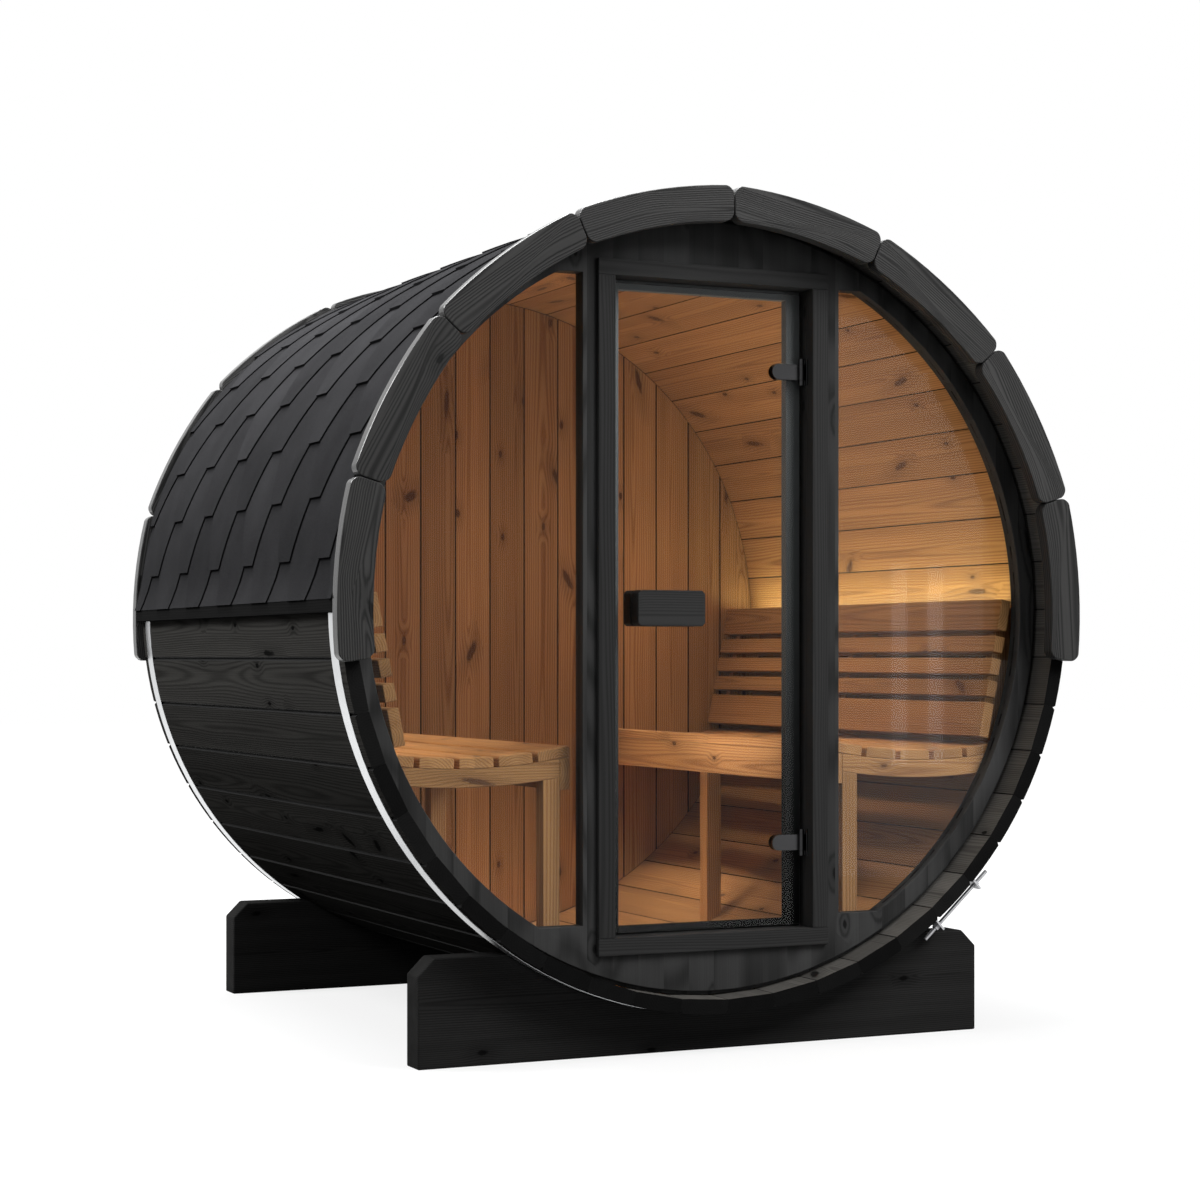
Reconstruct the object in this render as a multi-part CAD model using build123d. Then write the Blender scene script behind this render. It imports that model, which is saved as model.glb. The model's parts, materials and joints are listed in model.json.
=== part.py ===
from build123d import *
import os
from math import acos, asin, cos, degrees, pi, radians, sin, sqrt, tan

# A barrel sauna: a lying barrel of staves on two cradles, with a shingled top half,
# a glazed front wall with a swinging glass door, a boarded rear wall and two benches.
# Millimetres, Z up. The origin is on the ground under the middle of the barrel and
# the door faces -Y. Heights written "from the axis" count from the barrel's axis.

os.makedirs("parts", exist_ok=True)

# Shell
STAVE_OUTER_RADIUS = 1010.0
STAVE_THICKNESS = 38.0
STAVE_LENGTH = 1754.0
STAVE_COUNT = 48
STAVE_JOINT = 0.4
STAVE_GROOVE_DEPTH = 7.0
STAVE_GROOVE_WIDTH = 5.0
STAVE_INNER_CHAMFER = 1.5
SEAT = 0.2

# Trim boards on both ends of the shell
TRIM_PROUD = 20.0
TRIM_REVEAL = 31.0
TRIM_END_RISE = 4.5
TRIM_THICKNESS = 36.0
TRIM_COUNT = 8
TRIM_FIRST_ANGLE = -7.9
TRIM_JOINT = 2.5
TRIM_CORNER = 15.0

# Cradles
BARREL_LIFT = 99.0
CRADLE_WRAP = 165.0
CRADLE_HORN = 231.7
CRADLE_THICKNESS = 76.0
CRADLE_CHAMFER = 42.0
CRADLE_SETBACK = 90.0

# Steel bands and their tension rods
BAND_WIDTH = 50.0
BAND_THICKNESS = 1.5
BAND_GAP = 6.0
ROD_ANGLE = -47.75
ROD_LENGTH = 254.0
ROD_DIAMETER = 10.0
ROD_STANDOFF = 36.0
LUG_SPACING = 152.0
LUG_THICKNESS = 5.0
LUG_WIDTH = 40.0
LUG_EDGE = 12.0
NUT_FLATS = 17.0
NUT_HEIGHT = 8.0
ROD_CLEARANCE = 0.2

# Roof, with lengths measured along its curve
EAVES_HEIGHT = 8.0
EAVES_EXPOSURE = 97.0
COURSE_EXPOSURE = 152.2
RIDGE_LEAST_SIDE = 60.0
RIDGE_THICKNESS = 6.0
SHINGLE_BUTT = 5.0
SHINGLE_HEAD = 2.5
EAVES_FLARE = 18.0
FLARE_SAG_SHARE = 0.25
EAVES_DROP = 32.0
BATTEN_RISE_SHARE = 0.43

# Front wall
WALL_SETBACK = 75.0
WALL_THICKNESS = 45.0
POST_WIDTH = 37.5
HEADER_HEIGHT = 122.5
SILL_HEIGHT = 112.0
RIM_WIDTH = 55.0
WINDOW_HEAD_STEP = 3.5
WINDOW_SILL_STEP = 32.0
WINDOW_REVEAL = 20.0
WINDOW_GLASS_THICKNESS = 8.0
RIM_SHADOW_WIDTH = 10.0
RIM_SHADOW_DEPTH = 12.0
RIM_SEGMENTS = 4

# Door frame
OPENING_WIDTH = 555.0
FRAME_FACE = 46.0
HEAD_FACE = 40.0
RAIL_FACE = 44.0
FRAME_PROUD = 11.5
FRAME_DEPTH = 94.0
SIDE_STOP = 40.0
HEAD_STOP = 24.0
RAIL_STOP = 20.0
STOP_CLEARANCE = 11.0

# Door
GLASS_RECESS = 50.0
GLASS_THICKNESS = 8.0
DOOR_CLEARANCE = 6.0
HEAD_CLEARANCE = 10.0
GLASS_CORNER = 4.0
HANDLE_WIDTH = 186.0
HANDLE_HEIGHT = 89.0
HANDLE_DEPTH = 40.0
HANDLE_EDGE = 60.5
HANDLE_MIDDLE = -6.0
HANDLE_CORNER = 8.0
HINGE_DROP = 209.5
HINGE_INSET = 13.0
HINGE_STANDOFF = 13.0
LEAF_LENGTH = 82.0
LEAF_HEIGHT = 40.0
LEAF_OUTER_PLATE = 10.0
LEAF_INNER_PLATE = 5.0
KNUCKLE_RADIUS = 7.0
PIN_RADIUS = 4.0
PIN_CLEARANCE = 0.3
BASE_HEIGHT = 68.0
BASE_WIDTH = 26.0
BASE_PLATE = 4.0
KNUCKLE_GAP = 0.4

# Rear wall
REAR_SETBACK = 45.0
REAR_THICKNESS = 40.0
REAR_BOARD_COUNT = 17
BOARD_JOINT = 0.4

# Benches
AISLE_GAP = 11.0
SLAT_WIDTH = 90.0
SLAT_GAP = 12.0
SLAT_THICKNESS = 27.0
SLAT_CHAMFER = 5.0
SEAT_CURVE = 1500.0
SEAT_HOLLOW = 283.0
SEAT_LEVEL = -370.0
SEAT_WALL_GAP = 10.0
BEARER_DEPTH = 45.0
BEARER_THICKNESS = 28.0
BENCH_END_GAP = 6.0
APRON_THICKNESS = 28.0
APRON_HEIGHT = 84.0
LEG_SIZE = 45.0

# Backrests
BACKREST_LIFT = 17.4
BACKREST_RIM_GAP = 5.0
BACKREST_LEAN = 11.2
BACKREST_WIDE_TOP = 82.0
BACKREST_NARROW = 43.0
BACKREST_WIDE_BOTTOM = 92.0
BACKREST_GAP = 17.0
BACKREST_SLAT_THICKNESS = 30.0
UPRIGHT_THICKNESS = 28.0
UPRIGHT_INSET = 33.0
LIGHT_WIDTH = 14.0
LIGHT_HEIGHT = 10.0

# Sizes that follow from the ones above
AXIS_HEIGHT = STAVE_OUTER_RADIUS + BARREL_LIFT
STAVE_INNER_RADIUS = STAVE_OUTER_RADIUS - STAVE_THICKNESS
INNER_SEAT_RADIUS = STAVE_INNER_RADIUS - SEAT
FRONT_END = -STAVE_LENGTH / 2
REAR_END = STAVE_LENGTH / 2
TRIM_OUTER_RADIUS = STAVE_OUTER_RADIUS + TRIM_PROUD
TRIM_INNER_RADIUS = STAVE_INNER_RADIUS - TRIM_REVEAL
BAND_INNER_RADIUS = STAVE_OUTER_RADIUS + SEAT
BAND_OUTER_RADIUS = BAND_INNER_RADIUS + BAND_THICKNESS
ROOF_RADIUS = BAND_OUTER_RADIUS + SEAT
FIRST_COURSE_TOP = EAVES_HEIGHT + EAVES_EXPOSURE
COURSE_RUN = ROOF_RADIUS * pi / 2 - FIRST_COURSE_TOP - RIDGE_LEAST_SIDE
COURSE_COUNT = int(COURSE_RUN / COURSE_EXPOSURE)
WALL_FRONT = FRONT_END + WALL_SETBACK
WALL_BACK = WALL_FRONT + WALL_THICKNESS
REAR_WALL_BACK = REAR_END - REAR_SETBACK
REAR_WALL_FRONT = REAR_WALL_BACK - REAR_THICKNESS
OPENING_SIDE = OPENING_WIDTH / 2
FRAME_SIDE = OPENING_SIDE + FRAME_FACE
POST_SIDE = FRAME_SIDE + POST_WIDTH
FRAME_TOP = STAVE_INNER_RADIUS - HEADER_HEIGHT
FRAME_BOTTOM = SILL_HEIGHT - STAVE_INNER_RADIUS
OPENING_TOP = FRAME_TOP - HEAD_FACE
OPENING_BOTTOM = FRAME_BOTTOM + RAIL_FACE
WINDOW_RADIUS = STAVE_INNER_RADIUS - RIM_WIDTH
WINDOW_HEAD = OPENING_TOP + WINDOW_HEAD_STEP
WINDOW_SILL = OPENING_BOTTOM + WINDOW_SILL_STEP
WINDOW_GLASS_FRONT = WALL_FRONT + WINDOW_REVEAL
WINDOW_GLASS_BACK = WINDOW_GLASS_FRONT + WINDOW_GLASS_THICKNESS
FRAME_FRONT = WALL_FRONT - FRAME_PROUD
FRAME_BACK = FRAME_FRONT + FRAME_DEPTH
GLASS_FRONT = FRAME_FRONT + GLASS_RECESS
GLASS_BACK = GLASS_FRONT + GLASS_THICKNESS
STOP_FRONT = GLASS_BACK + STOP_CLEARANCE
HINGE_X = OPENING_SIDE - HINGE_INSET
HINGE_Y = GLASS_FRONT - HINGE_STANDOFF
HINGE_HEIGHT = OPENING_TOP - HINGE_DROP
SLAT_PITCH = SLAT_WIDTH + SLAT_GAP
SEAT_AISLE = POST_SIDE + AISLE_GAP
SEAT_LOW_POINT = SEAT_AISLE + SEAT_HOLLOW
SEAT_REACH = sqrt(STAVE_INNER_RADIUS**2 - (SEAT_LEVEL - SLAT_THICKNESS) ** 2) - SEAT_WALL_GAP
SLAT_COUNT = int((SEAT_REACH - SEAT_AISLE + SLAT_GAP) / SLAT_PITCH)
BENCH_FRONT = WALL_BACK + BENCH_END_GAP
BENCH_BACK = REAR_WALL_FRONT - BENCH_END_GAP
BACKREST_FRONT = WINDOW_GLASS_BACK + BENCH_END_GAP
CUT = STAVE_OUTER_RADIUS


def section(y):
    """Plane across the barrel at y, with its origin on the axis, x right and z up."""
    return Plane(origin=(0, y, AXIS_HEIGHT), x_dir=(1, 0, 0), z_dir=(0, -1, 0))


def across(profile, front, back):
    """Solid of a flat profile (x, height from the axis) run from front to back."""
    return extrude(section(back) * profile, amount=back - front)


def polar(radius, angle):
    """Point (x, height) at a radius and an angle in degrees from the +X side."""
    return (radius * cos(radians(angle)), radius * sin(radians(angle)))


def rectangle(x0, x1, z0, z1):
    """Flat rectangle between two x values and two heights."""
    return Pos((x0 + x1) / 2, (z0 + z1) / 2) * Rectangle(x1 - x0, z1 - z0)


def sector(inner, outer, first, last, rise=0):
    """Flat ring sector between two radii and two angles; its ends stand further out by rise."""
    middle = (first + last) / 2
    inner_end = inner + rise
    outer_end = outer + rise
    outline = [
        Line(polar(inner_end, first), polar(outer_end, first)),
        ThreePointArc(polar(outer_end, first), polar(outer, middle), polar(outer_end, last)),
        Line(polar(outer_end, last), polar(inner_end, last)),
        ThreePointArc(polar(inner_end, last), polar(inner, middle), polar(inner_end, first)),
    ]
    return make_face(outline)


def mirrored(solids):
    """The same solids on the other side of the barrel's middle plane."""
    return [mirror(solid, about=Plane.YZ) for solid in solids]


def save(node, solids):
    """Write one node; its solids stay apart from each other."""
    loose = [piece for solid in solids for piece in solid.solids()]
    shape = loose[0] if len(loose) == 1 else Compound(children=loose)
    export_step(shape, f"parts/{node}.step")


def stave_profile():
    """One stave at the top of the ring: flat inside, round outside, eased at its joints."""
    half = radians(360 / STAVE_COUNT / 2)
    joint = STAVE_JOINT / 2 / cos(half)

    def side(height):
        return height * tan(half) - joint

    groove_height = STAVE_OUTER_RADIUS * cos(half) - STAVE_GROOVE_DEPTH
    arc_half = half - STAVE_GROOVE_WIDTH / STAVE_OUTER_RADIUS
    crown = (STAVE_OUTER_RADIUS * sin(arc_half), STAVE_OUTER_RADIUS * cos(arc_half))
    flat = side(STAVE_INNER_RADIUS) - STAVE_INNER_CHAMFER
    eased = STAVE_INNER_RADIUS + STAVE_INNER_CHAMFER
    right = [(flat, STAVE_INNER_RADIUS), (side(eased), eased), (side(groove_height), groove_height), crown]
    left = [(-x, z) for x, z in reversed(right)]
    outline = [
        Polyline(left + right),
        ThreePointArc(crown, (0, STAVE_OUTER_RADIUS), (-crown[0], crown[1])),
    ]
    return make_face(outline)


def staves():
    """The ring of staves in four quarters, with a joint on each side at axis height."""
    pitch = 360 / STAVE_COUNT
    quarter = STAVE_COUNT // 4
    profile = stave_profile()
    names = ["right_staves", "top_staves", "left_staves", "bottom_staves"]
    first = -quarter // 2
    for turn, name in enumerate(names):
        solids = []
        for number in range(quarter):
            angle = (first + turn * quarter + number + 1 / 2) * pitch - 90
            solids.append(across(Rot(0, 0, angle) * profile, FRONT_END, REAR_END))
        save(name, solids)


def trim():
    """Arched boards on each end of the shell, over its top half, a little flatter than it."""
    span = (180 - 2 * TRIM_FIRST_ANGLE) / TRIM_COUNT
    gap = degrees(TRIM_JOINT / 2 / TRIM_OUTER_RADIUS)
    boards = []
    for number in range(TRIM_COUNT):
        first = TRIM_FIRST_ANGLE + number * span + gap
        last = first + span - 2 * gap
        board = sector(TRIM_INNER_RADIUS, TRIM_OUTER_RADIUS, first, last, TRIM_END_RISE)
        boards.append(chamfer(board.vertices(), TRIM_CORNER))
    front = FRONT_END - SEAT
    back = REAR_END + SEAT
    save("front_trim", [across(board, front - TRIM_THICKNESS + SEAT, front) for board in boards])
    save("rear_trim", [across(board, back, back + TRIM_THICKNESS - SEAT) for board in boards])


def cradles():
    """Two heavy planks on edge, hollowed on top to the round of the barrel."""
    saddle = STAVE_OUTER_RADIUS + SEAT
    top = CRADLE_WRAP - STAVE_OUTER_RADIUS
    side = sqrt(saddle**2 - top**2) + CRADLE_HORN
    shoulder = top - CRADLE_CHAMFER
    blank = make_face(
        Polyline(
            (-side, -AXIS_HEIGHT),
            (side, -AXIS_HEIGHT),
            (side, shoulder),
            (side - CRADLE_CHAMFER, top),
            (CRADLE_CHAMFER - side, top),
            (-side, shoulder),
            close=True,
        )
    )
    plank = blank - Circle(saddle)
    front = FRONT_END + CRADLE_SETBACK
    back = REAR_END - CRADLE_SETBACK
    save("front_cradle", [across(plank, front, front + CRADLE_THICKNESS)])
    save("rear_cradle", [across(plank, back - CRADLE_THICKNESS, back)])


def tensioner(y):
    """Rod with its two nuts turned on, through two lugs across the open ends of a band at y."""
    rod_height = BAND_OUTER_RADIUS + ROD_STANDOFF
    inner_face = LUG_SPACING / 2 - LUG_THICKNESS / 2
    foot = sqrt(BAND_OUTER_RADIUS**2 - inner_face**2) + SEAT
    lug_height = rod_height + LUG_EDGE - foot
    bore = ROD_DIAMETER / 2 + ROD_CLEARANCE
    turn = Pos(0, y, AXIS_HEIGHT) * Rot(0, 90 - ROD_ANGLE, 0)
    level = Pos(0, 0, rod_height) * Rot(0, 90, 0)
    nut = extrude(RegularPolygon(NUT_FLATS / 2, 6, major_radius=False), NUT_HEIGHT / 2, both=True)
    rod = level * Cylinder(ROD_DIAMETER / 2, ROD_LENGTH)
    lugs = []
    for hand in (-1, 1):
        place = Pos(hand * LUG_SPACING / 2, 0, foot + lug_height / 2)
        lug = place * Box(LUG_THICKNESS, LUG_WIDTH, lug_height)
        lugs.append(lug - level * Cylinder(bore, ROD_LENGTH))
        nut_side = hand * (LUG_SPACING / 2 + LUG_THICKNESS / 2 + SEAT + NUT_HEIGHT / 2)
        rod += Pos(nut_side, 0, 0) * level * nut
    return [turn * solid for solid in [rod] + lugs]


def bands():
    """A flat steel hoop outside each cradle, drawn tight by its rod at the lower right."""
    gap = degrees(asin((LUG_SPACING + LUG_THICKNESS) / 2 / BAND_OUTER_RADIUS))
    hoop = sector(BAND_INNER_RADIUS, BAND_OUTER_RADIUS, ROD_ANGLE + gap, ROD_ANGLE - gap + 360)
    middle = CRADLE_SETBACK - BAND_GAP - BAND_WIDTH / 2
    for end, y in (("front", FRONT_END + middle), ("rear", REAR_END - middle)):
        save(f"{end}_band", [across(hoop, y - BAND_WIDTH / 2, y + BAND_WIDTH / 2)])
        save(f"{end}_tensioner", tensioner(y))


def shingle_course(first, last, lift):
    """Flat profile of one course: thick at its lower edge, which stands out by lift."""
    middle = (first + last) / 2
    butt = ROOF_RADIUS + lift
    inner = ROOF_RADIUS + lift * FLARE_SAG_SHARE
    outer = inner + (SHINGLE_BUTT + SHINGLE_HEAD) / 2
    head = ROOF_RADIUS + SHINGLE_HEAD
    outline = [
        Line(polar(butt, first), polar(butt + SHINGLE_BUTT, first)),
        ThreePointArc(polar(butt + SHINGLE_BUTT, first), polar(outer, middle), polar(head, last)),
        Line(polar(head, last), polar(ROOF_RADIUS, last)),
        ThreePointArc(polar(ROOF_RADIUS, last), polar(inner, middle), polar(butt, first)),
    ]
    return make_face(outline)


def roof():
    """Shingle courses up both sides, kicked out over an eaves batten, and a ridge cap."""
    seam = degrees(SEAT / ROOF_RADIUS)
    front = FRONT_END + SEAT
    back = REAR_END - SEAT
    runs = [FIRST_COURSE_TOP + number * COURSE_EXPOSURE for number in range(COURSE_COUNT + 1)]
    tops = [degrees(run / ROOF_RADIUS) for run in runs]
    eaves = degrees(EAVES_HEIGHT / ROOF_RADIUS)
    profiles = [shingle_course(eaves, tops[0] - seam, EAVES_FLARE)]
    profiles += [shingle_course(low, high - seam, 0) for low, high in zip(tops, tops[1:])]
    right = [across(profile, front, back) for profile in profiles]
    save("right_shingles", right)
    save("left_shingles", mirrored(right))
    cap_side = tops[-1]
    cap = sector(ROOF_RADIUS, ROOF_RADIUS + RIDGE_THICKNESS, cap_side, 180 - cap_side)
    save("ridge_cap", [across(cap, front, back)])
    edge_x, edge_z = polar(ROOF_RADIUS + EAVES_FLARE, eaves)
    batten = make_face(
        Polyline(
            (ROOF_RADIUS, edge_z - EAVES_DROP),
            (edge_x - SEAT, edge_z - EAVES_DROP),
            (edge_x - SEAT, edge_z - SEAT),
            (ROOF_RADIUS, edge_z + EAVES_EXPOSURE * BATTEN_RISE_SHARE),
            close=True,
        )
    )
    strip = [across(batten, front, back)]
    save("right_eaves", strip)
    save("left_eaves", mirrored(strip))


def wall_disc():
    """The round that the front wall fills."""
    return Circle(INNER_SEAT_RADIUS)


def front_wall():
    """Posts beside the door frame and the panels above and below it."""
    disc = wall_disc()
    post = disc & rectangle(FRAME_SIDE + SEAT, POST_SIDE, -CUT, CUT)
    right = [across(post, WALL_FRONT, WALL_BACK)]
    save("right_post", right)
    save("left_post", mirrored(right))
    header = disc & rectangle(-FRAME_SIDE, FRAME_SIDE, FRAME_TOP + SEAT, CUT)
    sill = disc & rectangle(-FRAME_SIDE, FRAME_SIDE, -CUT, FRAME_BOTTOM - SEAT)
    save("header_panel", [across(header, WALL_FRONT, WALL_BACK)])
    save("sill_panel", [across(sill, WALL_FRONT, WALL_BACK)])


def window_light():
    """Flat outline of the right window: a round side, cut by the post, a head and a sill."""
    return Circle(WINDOW_RADIUS) & rectangle(POST_SIDE, CUT, WINDOW_SILL, WINDOW_HEAD)


def windows():
    """Curved rims in segments, stepped back beside the staves, round fixed glass."""
    field = wall_disc() & rectangle(POST_SIDE + SEAT, CUT, -CUT, CUT)
    rim = field - window_light()
    step = Circle(CUT) - Circle(INNER_SEAT_RADIUS - RIM_SHADOW_WIDTH)
    body = across(rim, WALL_FRONT, WALL_BACK) - across(step, WALL_FRONT, WALL_FRONT + RIM_SHADOW_DEPTH)
    reach = degrees(acos(POST_SIDE / INNER_SEAT_RADIUS))
    span = 2 * reach / RIM_SEGMENTS
    joint = degrees(SEAT / INNER_SEAT_RADIUS)
    segments = []
    for number in range(RIM_SEGMENTS):
        first = number * span - reach
        wedge = make_face(
            Polyline((0, 0), polar(2 * CUT, first + joint), polar(2 * CUT, first + span - joint), close=True)
        )
        segments.append(body & across(wedge, WALL_FRONT, WALL_BACK))
    save("right_window_frame", segments)
    save("left_window_frame", mirrored(segments))
    pane = offset(window_light(), -SEAT)
    glass = [across(pane, WINDOW_GLASS_FRONT, WINDOW_GLASS_BACK)]
    save("right_window_glass", glass)
    save("left_window_glass", mirrored(glass))


def door_frame():
    """Deep head, jambs and rail round the doorway, with stop strips behind the glass."""
    jamb = rectangle(OPENING_SIDE, FRAME_SIDE, OPENING_BOTTOM + SEAT, OPENING_TOP - SEAT)
    right = [across(jamb, FRAME_FRONT, FRAME_BACK)]
    save("right_jamb", right)
    save("left_jamb", mirrored(right))
    head = rectangle(-FRAME_SIDE, FRAME_SIDE, OPENING_TOP, FRAME_TOP)
    save("door_head", [across(head, FRAME_FRONT, FRAME_BACK)])
    rail = rectangle(-FRAME_SIDE, FRAME_SIDE, FRAME_BOTTOM, OPENING_BOTTOM)
    save("door_rail", [across(rail, FRAME_FRONT, FRAME_BACK)])
    edge = OPENING_SIDE - SEAT
    inner = OPENING_SIDE - SIDE_STOP
    low = OPENING_BOTTOM + SEAT
    high = OPENING_TOP - SEAT
    strips = [
        rectangle(inner, edge, low, high),
        rectangle(-edge, -inner, low, high),
        rectangle(-inner + SEAT, inner - SEAT, high - HEAD_STOP, high),
        rectangle(-inner + SEAT, inner - SEAT, low, low + RAIL_STOP),
    ]
    save("door_stops", [across(strip, STOP_FRONT, FRAME_BACK) for strip in strips])


def door():
    """Frameless glass leaf with a block handle on both faces and two clamp hinges."""
    side = OPENING_SIDE - DOOR_CLEARANCE
    low = OPENING_BOTTOM + DOOR_CLEARANCE
    high = OPENING_TOP - HEAD_CLEARANCE
    sheet = rectangle(-side, side, low, high)
    sheet = fillet(sheet.vertices(), GLASS_CORNER)
    save("door_glass", [across(sheet, GLASS_FRONT, GLASS_BACK)])
    handle_left = HANDLE_EDGE - side
    block = rectangle(0, HANDLE_WIDTH, -HANDLE_HEIGHT / 2, HANDLE_HEIGHT / 2)
    block = chamfer(block.vertices(), HANDLE_CORNER)
    block = Pos(handle_left, HANDLE_MIDDLE) * block
    outer = across(block, GLASS_FRONT - HANDLE_DEPTH, GLASS_FRONT - SEAT)
    inner = across(block, GLASS_BACK + SEAT, GLASS_BACK + HANDLE_DEPTH)
    save("door_handle", [outer, inner])


def hinge_leaf(height):
    """Rounded clamp plates on the glass, with a knuckle round the hinge pin."""
    end = LEAF_HEIGHT / 2
    plate = rectangle(HINGE_X - LEAF_LENGTH + end, HINGE_X, height - end, height + end)
    plate += Pos(HINGE_X - LEAF_LENGTH + end, height) * Circle(end)
    outer = across(plate, GLASS_FRONT - LEAF_OUTER_PLATE, GLASS_FRONT - SEAT)
    axis = Pos(HINGE_X, HINGE_Y, AXIS_HEIGHT + height)
    outer += axis * Cylinder(KNUCKLE_RADIUS, LEAF_HEIGHT)
    outer -= axis * Cylinder(PIN_RADIUS + PIN_CLEARANCE, BASE_HEIGHT)
    inner = across(plate, GLASS_BACK + SEAT, GLASS_BACK + LEAF_INNER_PLATE)
    return [outer, inner]


def hinge_base(height):
    """Plate on the jamb that carries the pin between two short arms."""
    axis = Pos(HINGE_X, HINGE_Y, AXIS_HEIGHT + height)
    jamb_side = HINGE_INSET - SEAT
    plate = Pos(jamb_side - BASE_PLATE / 2, 0, 0) * Box(BASE_PLATE, BASE_WIDTH, BASE_HEIGHT)
    arm_height = (BASE_HEIGHT - LEAF_HEIGHT) / 2 - KNUCKLE_GAP
    arm_place = LEAF_HEIGHT / 2 + KNUCKLE_GAP + arm_height / 2
    base = plate + Cylinder(PIN_RADIUS, BASE_HEIGHT)
    for hand in (-1, 1):
        arm = Pos(jamb_side / 2, 0, 0) * Box(jamb_side, 2 * PIN_RADIUS, arm_height)
        arm += Cylinder(KNUCKLE_RADIUS, arm_height)
        base += Pos(0, 0, hand * arm_place) * arm
    return axis * base


def hinges():
    """Two hinges on the right jamb."""
    heights = (HINGE_HEIGHT, -HINGE_HEIGHT)
    save("hinge_leaves", [solid for height in heights for solid in hinge_leaf(height)])
    save("hinge_bases", [hinge_base(height) for height in heights])


def rear_wall():
    """Upright boards that close the rear of the barrel."""
    width = 2 * INNER_SEAT_RADIUS / REAR_BOARD_COUNT
    boards = []
    for number in range(REAR_BOARD_COUNT):
        left = number * width - INNER_SEAT_RADIUS
        board = wall_disc() & rectangle(left + BOARD_JOINT / 2, left + width - BOARD_JOINT / 2, -CUT, CUT)
        boards.append(across(board, REAR_WALL_FRONT, REAR_WALL_BACK))
    save("rear_wall", boards)


def stations(inset, thickness):
    """Front faces of three frames: one in the middle and one at an inset from each bench end."""
    first = BENCH_FRONT + inset
    last = BENCH_BACK - inset - thickness
    return [first, (first + last) / 2, last]


def seat_level(x):
    """Height from the axis of the seat's hollow top at x."""
    return SEAT_LEVEL + SEAT_CURVE - sqrt(SEAT_CURVE**2 - (x - SEAT_LOW_POINT) ** 2)


def benches():
    """Slats on hollow bearers, with an apron and legs along the aisle, on both sides."""
    aisle_side = rectangle(SEAT_AISLE, CUT, -CUT, 0)
    slats = []
    for number in range(SLAT_COUNT):
        x = SEAT_AISLE + SLAT_WIDTH / 2 + number * SLAT_PITCH
        lean = degrees(asin((x - SEAT_LOW_POINT) / SEAT_CURVE))
        slat = Rectangle(SLAT_WIDTH, SLAT_THICKNESS)
        slat = chamfer(slat.vertices().group_by(Axis.Y)[-1], SLAT_CHAMFER)
        place = Pos(x, seat_level(x)) * Rot(0, 0, lean) * Pos(0, -SLAT_THICKNESS / 2)
        slats.append(across(aisle_side & place * slat, BENCH_FRONT, BENCH_BACK))
    save("right_bench_slats", slats)
    save("left_bench_slats", mirrored(slats))

    centre = Pos(SEAT_LOW_POINT, SEAT_LEVEL + SEAT_CURVE)
    top = sqrt((SEAT_CURVE + SLAT_THICKNESS) ** 2 + (SLAT_WIDTH / 2) ** 2) + SEAT
    apron_inner = SEAT_AISLE + APRON_THICKNESS
    crescent = centre * Circle(top + BEARER_DEPTH) - centre * Circle(top)
    reach = wall_disc() & rectangle(apron_inner + SEAT, CUT, -CUT, 0)
    bearer = crescent & reach
    leg_side = apron_inner + LEG_SIZE
    post = wall_disc() & rectangle(apron_inner + SEAT, leg_side, -CUT, 0)
    leg = post - centre * Circle(top + BEARER_DEPTH + SEAT)
    leg_parts = sorted(leg.faces(), key=lambda face: face.center().Y)
    apron_top = seat_level(SEAT_AISLE) - SLAT_THICKNESS - SEAT
    apron = rectangle(SEAT_AISLE, apron_inner, apron_top - APRON_HEIGHT, apron_top)
    apron = apron - centre * Circle(top)
    frame = [across(apron, BENCH_FRONT, BENCH_BACK)]
    for y in stations(0, BEARER_THICKNESS):
        frame.append(across(bearer, y, y + BEARER_THICKNESS))
        frame.append(across(leg_parts[0], y, y + LEG_SIZE if y < BENCH_BACK - LEG_SIZE else BENCH_BACK))
    save("right_bench_frame", frame)
    save("left_bench_frame", mirrored(frame))


def backrests():
    """Leaning slats, wide at top and bottom, that run into the windows, on uprights against the staves."""
    heights = [BACKREST_WIDE_TOP] + [BACKREST_NARROW] * 3 + [BACKREST_WIDE_BOTTOM]
    total = sum(heights) + BACKREST_GAP * (len(heights) - 1)
    seat_edge = seat_level(SEAT_AISLE + SLAT_COUNT * SLAT_PITCH - SLAT_GAP)
    top = seat_edge + BACKREST_LIFT + total * cos(radians(BACKREST_LEAN))
    face = sqrt((WINDOW_RADIUS - BACKREST_RIM_GAP) ** 2 - top**2) - BACKREST_SLAT_THICKNESS
    lean = Pos(face, top) * Rot(0, 0, -BACKREST_LEAN)
    slats = []
    level = 0
    for height in heights:
        slat = rectangle(0, BACKREST_SLAT_THICKNESS, level - height, level)
        slats.append(across(lean * slat, BACKREST_FRONT, BENCH_BACK))
        level -= height + BACKREST_GAP
    save("right_backrest", slats)
    save("left_backrest", mirrored(slats))

    back = BACKREST_SLAT_THICKNESS + SEAT
    upright = wall_disc() & (lean * rectangle(back, CUT, -total, -LIGHT_HEIGHT - SEAT))
    uprights = [across(upright, y, y + UPRIGHT_THICKNESS) for y in stations(UPRIGHT_INSET, UPRIGHT_THICKNESS)]
    save("right_uprights", uprights)
    save("left_uprights", mirrored(uprights))
    strip = lean * rectangle(back, back + LIGHT_WIDTH, -LIGHT_HEIGHT, 0)
    light = across(strip, BENCH_FRONT + UPRIGHT_INSET, BENCH_BACK - UPRIGHT_INSET)
    save("light_strips", [light] + mirrored([light]))


cradles()
staves()
trim()
bands()
roof()
front_wall()
windows()
door_frame()
door()
hinges()
rear_wall()
benches()
backrests()
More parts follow.
